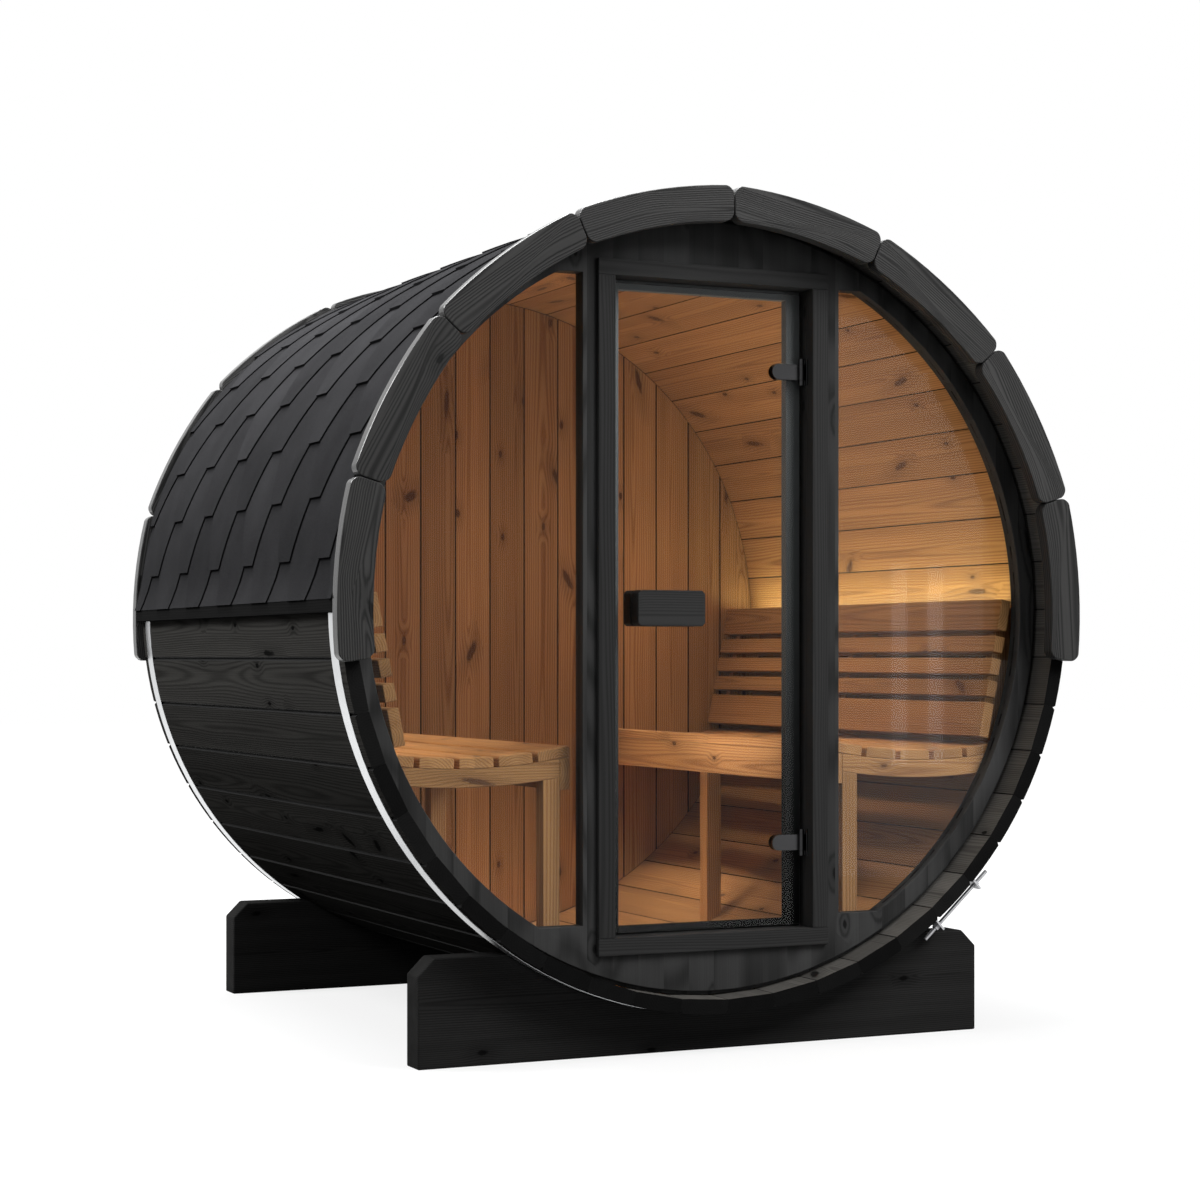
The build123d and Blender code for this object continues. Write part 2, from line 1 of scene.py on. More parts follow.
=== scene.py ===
"""Looks of a black barrel sauna, dressed round its packed construction frame.

Every timber is dressed from its construction solid: the solid's faces are merged, its edges are
eased, and each board gets its own grain. The front wall shows as one glued panel, and the roof
gets hexagonal shingle tabs. Lengths are metres, +Z is up and the door faces -Y.
"""
import json
import logging
import math
from dataclasses import dataclass, field
from enum import Enum, IntEnum
from functools import reduce
from typing import Any

import bmesh
import bpy
import numpy as np
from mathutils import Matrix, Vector


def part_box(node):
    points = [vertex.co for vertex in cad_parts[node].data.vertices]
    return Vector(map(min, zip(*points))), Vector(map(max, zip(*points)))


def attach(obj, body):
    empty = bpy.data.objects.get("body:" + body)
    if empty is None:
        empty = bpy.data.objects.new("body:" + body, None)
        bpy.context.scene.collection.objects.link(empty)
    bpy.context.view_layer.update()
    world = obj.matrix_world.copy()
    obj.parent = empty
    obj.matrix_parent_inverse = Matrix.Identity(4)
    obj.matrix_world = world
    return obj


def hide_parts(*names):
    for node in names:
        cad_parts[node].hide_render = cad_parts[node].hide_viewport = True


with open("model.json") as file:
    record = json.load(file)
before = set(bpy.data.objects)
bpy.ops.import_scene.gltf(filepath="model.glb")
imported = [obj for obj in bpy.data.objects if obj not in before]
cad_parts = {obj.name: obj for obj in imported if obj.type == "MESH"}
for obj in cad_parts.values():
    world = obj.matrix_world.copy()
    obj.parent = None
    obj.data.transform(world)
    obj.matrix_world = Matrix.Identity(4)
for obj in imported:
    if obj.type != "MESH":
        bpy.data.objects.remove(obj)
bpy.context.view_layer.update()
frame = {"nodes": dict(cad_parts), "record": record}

SLOT_OF = {row["node"]: row["material_slot"] for row in frame["record"]["subparts"]}
MERGE_DISTANCE = 0.00002
FLAT_ANGLE = math.radians(0.2)
SHARP_ANGLE = math.radians(32.0)
SMOOTH_ANGLE = math.radians(20.0)
SQUARE_ON = 0.9  # Cosine past which a face counts as square to a direction.
PARALLEL = 0.99  # Cosine past which an edge counts as parallel to a direction.
GRAIN, BOARD, TONE = "grain", "board", "tone"
SIDES = ("left", "right")

log = logging.getLogger("barrel_sauna")

BMesh = bmesh.types.BMesh
Color = tuple[float, float, float, float]
Material = bpy.types.Material
Mesh = bpy.types.Mesh
Object = bpy.types.Object
Point = tuple[float, float, float]
Socket = bpy.types.NodeSocket
Value = float | bpy.types.NodeSocket


class Run(Enum):
    """How the grain runs in the boards of a piece."""

    LONGEST = "along each board's longest side"
    COOPERED = "along the barrel, turned to each stave"
    ROUND = "round the barrel"


class Hand(Enum):
    """Side of the barrel, as the sign of its X."""

    LEFT = -1.0
    RIGHT = 1.0


class Spot(IntEnum):
    """Part of a stave, numbered as its materials are."""

    OUTSIDE = 0
    INSIDE = 1
    GROOVE = 2
    END = 3
    SHADOW = 4
    OVERHANG = 5


@dataclass(frozen=True)
class Barrel:
    """Sizes of the barrel, read from the frame."""

    axis_height: float
    radius: float  # Outer radius of the staves.
    front: float  # Y of the front ends of the staves.
    back: float  # Y of the rear ends of the staves.
    front_wall: float  # Y of the middle of the front wall.
    rear_wall: float  # Y of the middle of the rear wall.
    wall: float  # Thickness of the staves.

    @classmethod
    def from_frame(cls) -> "Barrel":
        """Measure the barrel on the frame's nodes.

        Returns:
            The barrel's sizes.
        """
        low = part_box("bottom_staves")[0]
        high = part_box("top_staves")[1]
        wall_low, wall_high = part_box("header_panel")
        rear_low, rear_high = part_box("rear_wall")
        radius = (high.z - low.z) / 2
        return cls(
            axis_height=(low.z + high.z) / 2,
            radius=radius,
            front=low.y,
            back=high.y,
            front_wall=(wall_low.y + wall_high.y) / 2,
            rear_wall=(rear_low.y + rear_high.y) / 2,
            wall=radius - (rear_high.z - rear_low.z) / 2,
        )

    def outward(self, point: Vector) -> Vector:
        """Direction from the barrel's axis to a point."""
        return Vector((point.x, 0, point.z - self.axis_height)).normalized()

    def within(self, point: Vector) -> bool:
        """Whether a point lies inside the cabin."""
        radius = math.hypot(point.x, point.z - self.axis_height)
        return self.front_wall < point.y < self.rear_wall and radius < self.radius - self.wall / 2


BARREL = Barrel.from_frame()


@dataclass
class Wiring:
    """Adds nodes to a tree and links them."""

    tree: bpy.types.NodeTree

    def node(self, kind: str, inputs: dict[Any, Any] | None = None, **settings: Any) -> Any:
        """Add a node.

        Args:
            kind: Blender's name for the node.
            inputs: Values or sockets for its inputs, by name or number.
            **settings: Properties of the node.

        Returns:
            The new node's outputs.
        """
        made = self.tree.nodes.new(kind)
        for key, value in settings.items():
            setattr(made, key, value)
        self.fill(made, inputs or {})
        return made.outputs

    def fill(self, node: Any, inputs: dict[Any, Any]) -> None:
        """Link or set inputs of a node.

        Args:
            node: The node.
            inputs: Sockets to link from, or plain values, by name or number.
        """
        for key, value in inputs.items():
            if isinstance(value, bpy.types.NodeSocket):
                self.tree.links.new(value, node.inputs[key])
            else:
                node.inputs[key].default_value = value

    def math(self, operation: str, first: Value, second: Value = 0.0, third: Value = 0.0) -> Socket:
        """One step of arithmetic, by Blender's name for it."""
        numbers = {0: first, 1: second, 2: third}
        return self.node("ShaderNodeMath", numbers, operation=operation)[0]

    def total(self, *values: Value) -> Socket:
        """Sum of several numbers."""
        return reduce(lambda first, second: self.math("ADD", first, second), values)

    def times(self, *values: Value) -> Socket:
        """Product of several numbers."""
        return reduce(lambda first, second: self.math("MULTIPLY", first, second), values)

    def minus(self, first: Value, second: Value) -> Socket:
        """First number less the second."""
        return self.math("SUBTRACT", first, second)

    def scaled(self, value: Value, factor: Value, offset: Value = 0.0) -> Socket:
        """value times factor plus offset."""
        return self.math("MULTIPLY_ADD", value, factor, offset)

    def around(self, value: Value, spread: float, middle: float = 0.0) -> Socket:
        """value, which runs from 0 to 1, spread out round a middle."""
        return self.scaled(value, spread, middle - spread / 2)

    def reach(self, first: Value, second: Value) -> Socket:
        """Length of a line that goes so far in two square directions."""
        squares = (self.math("POWER", side, 2.0) for side in (first, second))
        return self.math("SQRT", self.total(*squares))

    def step(self, value: Value, low: float, high: float) -> Socket:
        """Smooth step of value, from 0 at low to 1 at high."""
        span = {"Value": value, "From Min": low, "From Max": high}
        return self.node("ShaderNodeMapRange", span, interpolation_type="SMOOTHSTEP")[0]

    def join(self, x: Value, y: Value, z: Value) -> Socket:
        """Vector of three numbers."""
        return self.node("ShaderNodeCombineXYZ", {0: x, 1: y, 2: z})[0]

    def split(self, vector: Socket) -> tuple[Socket, ...]:
        """The three numbers of a vector."""
        return tuple(self.node("ShaderNodeSeparateXYZ", {0: vector}))

    def place(self) -> Socket:
        """Place of a point on the object."""
        return self.node("ShaderNodeTexCoord")["Object"]

    def noise(self, vector: Socket, scale: float = 1.0, detail: float = 2.0) -> Socket:
        """Noise from 0 to 1 at a point."""
        inputs = {"Vector": vector, "Scale": scale, "Detail": detail}
        return self.node("ShaderNodeTexNoise", inputs)["Fac"]

    def blend(self, share: Value, first: Any, second: Any) -> Socket:
        """Colour between two colours, where a share of 1 gives the second."""
        colors = {0: share, 6: first, 7: second}
        return self.node("ShaderNodeMix", colors, data_type="RGBA")[2]

    def dimmed(self, color: Socket, factor: Value) -> Socket:
        """Colour times a number."""
        inputs = {0: color, "Scale": factor}
        return self.node("ShaderNodeVectorMath", inputs, operation="SCALE")[0]

    def attribute(self, name: str) -> Any:
        """Outputs of a node that reads an attribute of the mesh."""
        return self.node("ShaderNodeAttribute", attribute_name=name)

    def show(self, surface: Socket) -> None:
        """Make a shader's output what a material shows."""
        self.fill(self.tree.nodes["Material Output"], {"Surface": surface})

    def roughen(self, shader: Any, height: Socket, depth: float, strength: float) -> None:
        """Give a shader relief, from a height of 0 to 1 and its depth."""
        inputs = {"Height": height, "Distance": depth, "Strength": strength}
        self.fill(shader, {"Normal": self.node("ShaderNodeBump", inputs)[0]})


def new_material(name: str) -> tuple[Material, Wiring, Any]:
    """Start a node material.

    Args:
        name: The material's name.

    Returns:
        The material, the wiring of its tree and its main shader.
    """
    material = bpy.data.materials.new(name)
    material.use_nodes = True
    nodes = material.node_tree.nodes
    return material, Wiring(material.node_tree), nodes["Principled BSDF"]


def grey(tone: float) -> Color:
    """Neutral colour of one tone."""
    return (tone, tone, tone, 1.0)


@dataclass(frozen=True)
class WoodFinish:
    """A sawn softwood board with growth rings, fibres and knots."""

    name: str
    late: Color  # Colour of the dark late wood.
    early: Color  # Colour of the pale early wood.
    knot: Color = grey(0.004)
    ring_share: float = 0.45  # How strongly the growth rings show.
    streak_share: float = 0.5
    fibre_share: float = 0.25
    board_share: float = 0.3  # How far boards differ in tone.
    roughness: float = 0.5
    gloss: float = 0.3
    relief: float = 0.0004  # Depth of the grain's relief.
    rings: float = 150.0  # Growth rings per metre.
    knot_share: float = 0.2  # Share of the places for knots that have one.
    # Width of the strips that a wide panel is glued from, or 0 for single boards.
    strip: float = 0.0

    def places(self, w: Wiring) -> tuple[Value, ...]:
        """Place of a point in its board.

        Args:
            w: Wiring of the material.

        Returns:
            Distance along, across and through the board, and the board's random number.
        """
        if not self.strip:
            return *w.split(w.attribute(GRAIN)["Vector"]), w.attribute(BOARD)["Fac"]
        x, y, z = w.split(w.place())
        number = w.math("FLOOR", w.scaled(x, 1.0 / self.strip))
        across = w.minus(x, w.scaled(number, self.strip, self.strip / 2))
        chance = w.node("ShaderNodeTexWhiteNoise", {"W": number}, noise_dimensions="1D")
        return z, across, y, chance["Value"]

    def knots(self, w: Wiring, along: Value, across: Value, board: Value) -> tuple[Value, Value]:
        """Places of knots on a board.

        Args:
            w: Wiring of the material.
            along: Distance along the grain.
            across: Distance across the board.
            board: The board's own random number.

        Returns:
            How much of a knot a point is, and how near to one it is.
        """
        places_along, places_across = 4.2, 9.0
        least_size, size_spread = 0.045, 0.035
        round_share, spike_stretch = 0.55, 0.62
        ragged, core, edge, swirl = 0.9, 0.6, 1.3, 5.0
        rough = w.noise(w.join(w.scaled(along, 60.0), w.scaled(across, 90.0), board))
        u = w.scaled(along, places_along, w.scaled(board, 71.0))
        v = w.scaled(across, places_across, w.scaled(board, 37.0))
        place = w.join(u, v, 0.0)
        inputs = {"Vector": place, "Scale": 1.0}
        cells = w.node("ShaderNodeTexVoronoi", inputs, voronoi_dimensions="2D")
        chance, bulk, turn = w.split(cells["Color"])
        there = w.math("LESS_THAN", chance, self.knot_share)
        ends = {0: place, 1: cells["Position"]}
        offset = w.node("ShaderNodeVectorMath", ends, operation="SUBTRACT")[0]
        u, v, _ = w.split(offset)
        angle = w.times(turn, math.pi)
        sine, cosine = w.math("SINE", angle), w.math("COSINE", angle)
        long = w.total(w.times(u, cosine), w.times(v, sine))
        wide = w.minus(w.times(v, cosine), w.times(u, sine))
        stretch = w.scaled(w.math("GREATER_THAN", bulk, round_share), -spike_stretch, 1.0)
        size = w.scaled(bulk, size_spread, least_size)
        ratio = w.math("DIVIDE", w.reach(w.times(long, stretch), wide), size)
        ratio = w.total(ratio, w.around(rough, ragged))
        knot = w.times(w.step(ratio, edge, core), there)
        near = w.times(w.step(ratio, swirl, core), there)
        return knot, near

    def material(self) -> Material:
        """Make the node material.

        Returns:
            The material.
        """
        wave, pith_shift, pith_sway, pith_least, pith_spread = 0.024, 0.06, 0.07, 0.012, 0.035
        warp_rings, knot_rings, late_width = 1.3, 1.3, 1.7
        halo_dark, knot_dark, rough_spread, ring_shine = 0.28, 0.9, 0.14, -0.06
        ring_rise, fibre_rise, knot_rise, relief_share = 0.5, 0.6, -0.6, 0.8
        material, w, shader = new_material(self.name)
        along, across, depth, board = self.places(w)
        second = w.math("FRACT", w.times(board, 7.31))
        seed = w.scaled(board, 19.0)
        knot, near = self.knots(w, along, across, board)

        def stretched(length: float, width: float, detail: float) -> Socket:
            """Noise drawn out along the grain."""
            lines = w.scaled(along, length, seed), w.scaled(across, width, seed)
            return w.noise(w.join(*lines, w.scaled(depth, width)), 1.0, detail)

        warp = w.noise(w.join(
            w.scaled(along, 1.1, seed), w.scaled(across, 6.0), w.scaled(depth, 6.0, seed),
        ))
        sway = w.noise(w.join(w.scaled(along, 0.7, seed), seed, 0.0), 1.0, 1.0)
        pith_across = w.total(across, w.around(warp, wave), w.around(second, pith_shift))
        deep = w.scaled(board, pith_spread, pith_least)
        pith_depth = w.total(depth, deep, w.around(sway, pith_sway))
        phase = w.total(
            w.scaled(w.reach(pith_across, pith_depth), self.rings),
            w.scaled(near, knot_rings), w.scaled(warp, warp_rings),
        )
        ring = w.scaled(w.math("SINE", w.times(phase, math.tau)), 0.5, 0.5)
        ring = w.math("POWER", ring, late_width)
        streak = stretched(0.9, 24.0, 3.0)
        fibre = stretched(5.0, 320.0, 2.0)

        shade = w.total(
            w.scaled(ring, -self.ring_share, 0.5 + self.ring_share / 2),
            w.around(streak, self.streak_share), w.around(fibre, self.fibre_share),
        )
        color = w.blend(shade, self.late, self.early)
        color = w.dimmed(color, w.around(second, self.board_share, 1.0))
        color = w.blend(w.scaled(near, halo_dark), color, self.knot)
        color = w.blend(w.scaled(knot, knot_dark), color, self.knot)
        shine = w.scaled(ring, ring_shine)
        rough = w.total(w.around(fibre, rough_spread, self.roughness), shine)
        w.fill(shader, {"Base Color": color, "Roughness": rough, "Specular IOR Level": self.gloss})
        rises = (ring, ring_rise), (fibre, fibre_rise), (knot, knot_rise)
        height = w.total(*(w.scaled(*rise) for rise in rises))
        w.roughen(shader, height, self.relief, relief_share)
        return material


@dataclass(frozen=True)
class ShingleFinish:
    """Bitumen felt covered with mineral granules."""

    name: str
    dark: Color  # Colour of the darkest granules.
    pale: Color  # Colour of the palest granules.
    roughness: float = 0.82
    grain: float = 0.0008

    def material(self) -> Material:
        """Make the node material.

        Returns:
            The material.
        """
        material, w, shader = new_material(self.name)
        granules, patches = 620.0, 9.0
        grit_share, patch_share, tab_share, rough_spread = 0.9, 0.3, 0.3, 0.2
        place = w.place()
        grit = w.noise(place, granules, 1.0)
        patch = w.noise(place, patches, 3.0)
        tone = w.attribute(TONE)["Fac"]
        share = w.total(w.around(grit, grit_share, 0.4), w.around(patch, patch_share))
        color = w.dimmed(w.blend(share, self.dark, self.pale), w.around(tone, tab_share, 1.0))
        rough = w.around(grit, rough_spread, self.roughness)
        w.fill(shader, {"Base Color": color, "Roughness": rough, "Specular IOR Level": 0.0})
        w.roughen(shader, grit, self.grain, 0.7)
        return material


@dataclass(frozen=True)
class MetalFinish:
    """Bare or painted metal with a faint drawn texture."""

    name: str
    color: Color
    metallic: float  # 1 for bare metal, 0 for paint.
    roughness: float
    gloss: float = 0.5
    scratch: float = 0.15
    foot: float = 1.0  # Painted shade: tone at the floor, as a share of the tone at door height.

    def material(self) -> Material:
        """Make the node material.

        Returns:
            The material.
        """
        material, w, shader = new_material(self.name)
        long, fine, clouds = 14.0, 900.0, 45.0
        floor, door_height, cloud_share, rough_spread = 0.2, 2.0, 0.12, 0.16
        x, y, z = w.split(w.place())
        drawn = w.noise(w.join(w.scaled(x, long), w.scaled(y, fine), w.scaled(z, long)))
        cloud = w.noise(w.join(x, y, z), clouds)
        tone = w.total(w.around(drawn, self.scratch, 1.0), w.around(cloud, cloud_share))
        # Painted shade: the tone falls from door height to the floor.
        if self.foot < 1.0:
            rise = w.step(z, floor, door_height)
            tone = w.times(tone, w.scaled(rise, 1.0 - self.foot, self.foot))
        plain = w.node(
            "ShaderNodeMix", {0: 1.0, 6: self.color, 7: w.join(tone, tone, tone)},
            data_type="RGBA", blend_type="MULTIPLY",
        )
        w.fill(shader, {
            "Base Color": plain[2], "Metallic": self.metallic, "Specular IOR Level": self.gloss,
            "Roughness": w.around(drawn, rough_spread, self.roughness),
        })
        w.roughen(shader, drawn, 0.0001, 0.4)
        return material


@dataclass(frozen=True)
class GlassFinish:
    """Clear coated toughened glass."""

    name: str
    color: Color
    index: float = 1.17  # Its refractive index, low because of the coating.

    def material(self) -> Material:
        """Make the node material; light and shadow rays pass straight through.

        Returns:
            The material.
        """
        material, w, shader = new_material(self.name)
        w.fill(shader, {
            "Base Color": self.color, "Transmission Weight": 1.0, "IOR": self.index,
            "Roughness": 0.0,
        })
        clear = w.node("ShaderNodeBsdfTransparent", {"Color": self.color})
        rays = w.node("ShaderNodeLightPath")
        through = w.math("MAXIMUM", rays["Is Shadow Ray"], rays["Is Diffuse Ray"])
        shaders = {0: through, 1: shader.outputs[0], 2: clear[0]}
        w.show(w.node("ShaderNodeMixShader", shaders)[0])
        return material


@dataclass(frozen=True)
class GlowFinish:
    """Frosted strip of warm light."""

    name: str
    color: Color
    strength: float
    points: float = 60.0  # Brighter points per metre.

    def material(self) -> Material:
        """Make the node material, which shines upwards, with brighter points along the strip.

        Returns:
            The material.
        """
        material, w, shader = new_material(self.name)
        y = w.split(w.place())[1]
        up = w.split(w.node("ShaderNodeNewGeometry")["True Normal"])[2]
        ripple, upward = 0.2, 0.5
        shine = w.scaled(w.math("SINE", w.times(y, math.tau * self.points)), ripple, 1.0)
        shine = w.times(shine, w.math("GREATER_THAN", up, upward))
        w.fill(shader, {
            "Base Color": self.color, "Emission Color": self.color, "Roughness": 0.6,
            "Emission Strength": w.scaled(shine, self.strength),
        })
        return material


Finish = WoodFinish | ShingleFinish | MetalFinish | GlassFinish | GlowFinish
BLACK = {"late": (0.006, 0.0061, 0.0062, 1), "early": (0.046, 0.0455, 0.045, 1)}
MATT = {"gloss": 0.0, "relief": 0.0005, "rings": 190.0}
HEATED = {
    "knot": (0.08, 0.033, 0.016, 1), "streak_share": 0.8, "board_share": 0.36,
    "roughness": 0.52, "gloss": 0.15, "relief": 0.0002,
}


def made_once(finish: Finish) -> Any:
    """Field that holds a finish's material."""
    return field(default_factory=finish.material)


@dataclass
class Finishes:
    """All finishes of the sauna, as materials."""

    black: Material = made_once(WoodFinish(
        "black_stained_wood", **BLACK, ring_share=0.65, knot_share=0.5, roughness=0.55,
        gloss=0.12, relief=0.0015, rings=190.0,
    ))
    planed: Material = made_once(WoodFinish(
        "black_planed_edge", **BLACK, ring_share=0.3, roughness=0.24, gloss=0.25, relief=0.0002,
    ))
    frame: Material = made_once(WoodFinish(
        "black_frame_wood", late=grey(0.009), early=grey(0.034), ring_share=0.4,
        roughness=0.55, gloss=0.08, relief=0.0005, rings=200.0,
    ))
    panel: Material = made_once(WoodFinish(
        "black_glued_panel", late=grey(0.012), early=grey(0.058),
        roughness=0.56, gloss=0.05, relief=0.0005, rings=200.0, strip=0.07,
    ))
    matt: Material = made_once(WoodFinish(
        "black_stave_wood", late=(0.011, 0.0107, 0.0102, 1), early=(0.047, 0.0457, 0.043, 1),
        ring_share=0.36, fibre_share=0.4, board_share=0.4, knot_share=0.4,
        roughness=0.6, gloss=0.0, relief=0.0006, rings=190.0,
    ))
    # Painted light: a lighter copy of the black stave wood for the staves' inner faces in front of
    # the front wall, standing in for light from the front left.
    overhang: Material = made_once(WoodFinish(
        "black_inner_stave_wood", late=(0.024, 0.023, 0.0208, 1),
        early=(0.126, 0.120, 0.112, 1), ring_share=0.3, board_share=0.5, roughness=0.65, **MATT,
    ))
    cradle: Material = made_once(WoodFinish(
        "black_cradle_wood", late=grey(0.007), early=(0.040, 0.0395, 0.039, 1),
        ring_share=0.3, roughness=0.6, **MATT,
    ))
    # Dark end grain of the staves; on the eaves battens this darkest finish is partly painted shade
    # under the shingles' overhang.
    end_grain: Material = made_once(WoodFinish(
        "black_end_grain", late=grey(0.004), early=grey(0.016), ring_share=0.12,
        streak_share=0.3, board_share=0.7, knot_share=0.0, roughness=0.7,
        gloss=0.0, relief=0.0003,
    ))
    natural: Material = made_once(WoodFinish(
        "heat_treated_wood", late=(0.19, 0.078, 0.029, 1), early=(0.50, 0.264, 0.106, 1),
        knot_share=0.45, **HEATED,
    ))
    # Painted shade: a darker copy of the heat-treated wood, so that the backrests show less lit
    # than the seats.
    backrest: Material = made_once(WoodFinish(
        "heat_treated_slat_wood", late=(0.148, 0.061, 0.022, 1), early=(0.39, 0.206, 0.083, 1),
        knot_share=0.2, **HEATED,
    ))
    joint: Material = made_once(MetalFinish(
        "shadowed_joint", (0.011, 0.008, 0.007, 1), metallic=0.0, roughness=0.8, gloss=0.1,
    ))
    # Black glazing seal of the panes, also painted shade in the grooves between the staves outside.
    seal: Material = made_once(MetalFinish(
        "black_glazing_seal", grey(0.003), metallic=0.0, roughness=0.7, gloss=0.1,
    ))
    # Painted reflection: this grey, lighter than the black stop, stands in for the glass's
    # reflection over it; its fade towards the floor is painted shade.
    stop: Material = made_once(MetalFinish(
        "grey_primer", (0.155, 0.162, 0.165, 1), metallic=0.0, roughness=0.7,
        gloss=0.0, foot=0.02,
    ))
    steel: Material = made_once(MetalFinish(
        "bright_strip_steel", (0.58, 0.59, 0.60, 1), metallic=1.0, roughness=0.3,
    ))
    hinge: Material = made_once(MetalFinish(
        "satin_black_metal", (0.032, 0.032, 0.033, 1), metallic=1.0, roughness=0.26,
    ))
    rod: Material = made_once(MetalFinish(
        "plated_rod", (0.34, 0.34, 0.35, 1), metallic=1.0, roughness=0.35,
    ))
    shingle: Material = made_once(ShingleFinish(
        "granulated_felt", dark=(0.006, 0.006, 0.0063, 1), pale=(0.035, 0.035, 0.037, 1),
    ))
    glass: Material = made_once(GlassFinish("clear_glass", (0.97, 0.98, 0.975, 1)))
    glow: Material = made_once(GlowFinish("warm_light", (1.0, 0.98, 0.58, 1), strength=28.0))


def islands(mesh: Mesh) -> list[np.ndarray]:
    """Separate solids of a mesh.

    Args:
        mesh: The mesh.

    Returns:
        The vertex numbers of each solid, in the order of their first vertex.
    """
    edges = np.zeros(len(mesh.edges) * 2, np.int64)
    mesh.edges.foreach_get("vertices", edges)
    start, end = edges.reshape(-1, 2).T
    label = np.arange(len(mesh.vertices))
    while True:
        lower = np.minimum(label[start], label[end])
        fresh = label.copy()
        np.minimum.at(fresh, start, lower)
        np.minimum.at(fresh, end, lower)
        fresh = fresh[fresh]
        if np.array_equal(fresh, label):
            return [np.flatnonzero(label == first) for first in np.unique(label)]
        label = fresh


def grain_of(points: np.ndarray, run: Run) -> np.ndarray:
    """Grain coordinates of one board.

    Args:
        points: The board's vertices.
        run: How its grain runs.

    Returns:
        Distance along, across and through the board for each vertex.
    """
    middle = (points.min(0) + points.max(0)) / 2
    if run is Run.LONGEST:
        order = np.argsort(points.min(0) - points.max(0))
        return (points - middle)[:, order]
    flat = points[:, [0, 2]] - np.array([0.0, BARREL.axis_height])
    if run is Run.COOPERED:
        outward = flat.mean(0) / np.linalg.norm(flat.mean(0))
        sideways = np.array([-outward[1], outward[0]])
        return np.stack([points[:, 1], flat @ sideways, flat @ outward - BARREL.radius], 1)
    radius = np.linalg.norm(flat, axis=1)
    turn = np.unwrap(np.arctan2(flat[:, 1], flat[:, 0]))
    return np.stack([turn * BARREL.radius, radius - radius.mean(), points[:, 1] - middle[1]], 1)


def lay_grain(mesh: Mesh, run: Run, seed: int) -> None:
    """Write the grain coordinates and a random number for each board on a mesh.

    Args:
        mesh: The mesh.
        run: How the grain of its boards runs.
        seed: Seed of the random numbers.
    """
    points = np.zeros(len(mesh.vertices) * 3, np.float32)
    mesh.vertices.foreach_get("co", points)
    points = points.reshape(-1, 3).astype(float)
    grain, board = np.zeros_like(points), np.zeros(len(points))
    random = np.random.default_rng(seed)
    for numbers in islands(mesh):
        grain[numbers] = grain_of(points[numbers], run)
        board[numbers] = random.random()
    layer = mesh.attributes.new(GRAIN, "FLOAT_VECTOR", "POINT")
    layer.data.foreach_set("vector", grain.astype(np.float32).ravel())
    layer = mesh.attributes.new(BOARD, "FLOAT", "POINT")
    layer.data.foreach_set("value", board.astype(np.float32))


def merged_solid(node: str) -> BMesh:
    """Copy of a construction node with its loose triangles merged into whole faces.

    Args:
        node: The node's name.

    Returns:
        The merged mesh.
    """
    made = bmesh.new()
    made.from_mesh(frame["nodes"][node].data)
    bmesh.ops.remove_doubles(made, verts=made.verts, dist=MERGE_DISTANCE)
    bmesh.ops.dissolve_limit(made, angle_limit=FLAT_ANGLE, verts=made.verts, edges=made.edges)
    made.normal_update()
    return made


def place_object(name: str, made: BMesh) -> Object:
    """New object at the origin that shows an edited mesh, which is freed.

    Args:
        name: Name of the object and its mesh.
        made: The edited mesh.

    Returns:
        The object.
    """
    mesh = bpy.data.meshes.new(name)
    made.to_mesh(mesh)
    made.free()
    placed = bpy.data.objects.new(name, mesh)
    bpy.context.scene.collection.objects.link(placed)
    return placed


def ease_edges(piece: Object, width: float, segments: int, slot: int = -1) -> None:
    """Add a modifier that eases the sharp edges of a piece.

    Args:
        piece: The piece.
        width: Width of an eased edge.
        segments: Steps across it.
        slot: Number of its material, or -1 for that of the faces beside it.
    """
    bevel = piece.modifiers.new("eased_edges", "BEVEL")
    bevel.width = width
    bevel.segments = segments
    bevel.limit_method = "ANGLE"
    bevel.angle_limit = SHARP_ANGLE
    bevel.material = slot


def settle(piece: Object) -> None:
    """Turn what a piece's modifiers give into its plain mesh and drop the modifiers.

    Args:
        piece: The piece.
    """
    graph = bpy.context.evaluated_depsgraph_get()
    graph.update()
    mesh = bpy.data.meshes.new_from_object(
        piece.evaluated_get(graph), preserve_all_data_layers=True, depsgraph=graph,
    )
    old = piece.data
    piece.modifiers.clear()
    piece.data = mesh
    mesh.name = piece.name
    bpy.data.meshes.remove(old)


def shade(piece: Object) -> None:
    """Shade a piece smooth up to its sharp edges."""
    piece.data.shade_smooth()
    piece.data.set_sharp_from_angle(angle=SMOOTH_ANGLE)


@dataclass
class Dressed:
    """One construction node, dressed with eased edges and its own finish."""

    node: str
    finish: Material
    body: str = "cabin"
    ease: float = 0.0  # Width of its eased edges.
    run: Run = Run.LONGEST  # How the grain of its boards runs.
    segments: int = 2  # Steps across an eased edge.
    # Materials of its other faces, in the order of their numbers.
    others: tuple[Material, ...] = ()
    ease_slot: int = -1  # Number of the material of its eased edges, or -1 for that of their faces.

    def solid(self) -> BMesh:
        """The mesh before its edges are eased."""
        return merged_solid(self.node)

    def build(self, seed: int) -> None:
        """Make the piece and put it in place of its node.

        Args:
            seed: Seed for the boards' random numbers.
        """
        piece = place_object(f"{self.node}_dressed", self.solid())
        for material in (self.finish, *self.others):
            piece.data.materials.append(material)
        if self.ease:
            ease_edges(piece, self.ease, self.segments, self.ease_slot)
            settle(piece)
        shade(piece)
        lay_grain(piece.data, self.run, seed)
        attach(piece, self.body)
        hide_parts(self.node)
        SLOT_OF[self.node]
        log.info("dressed %s: %d faces", self.node, len(piece.data.polygons))


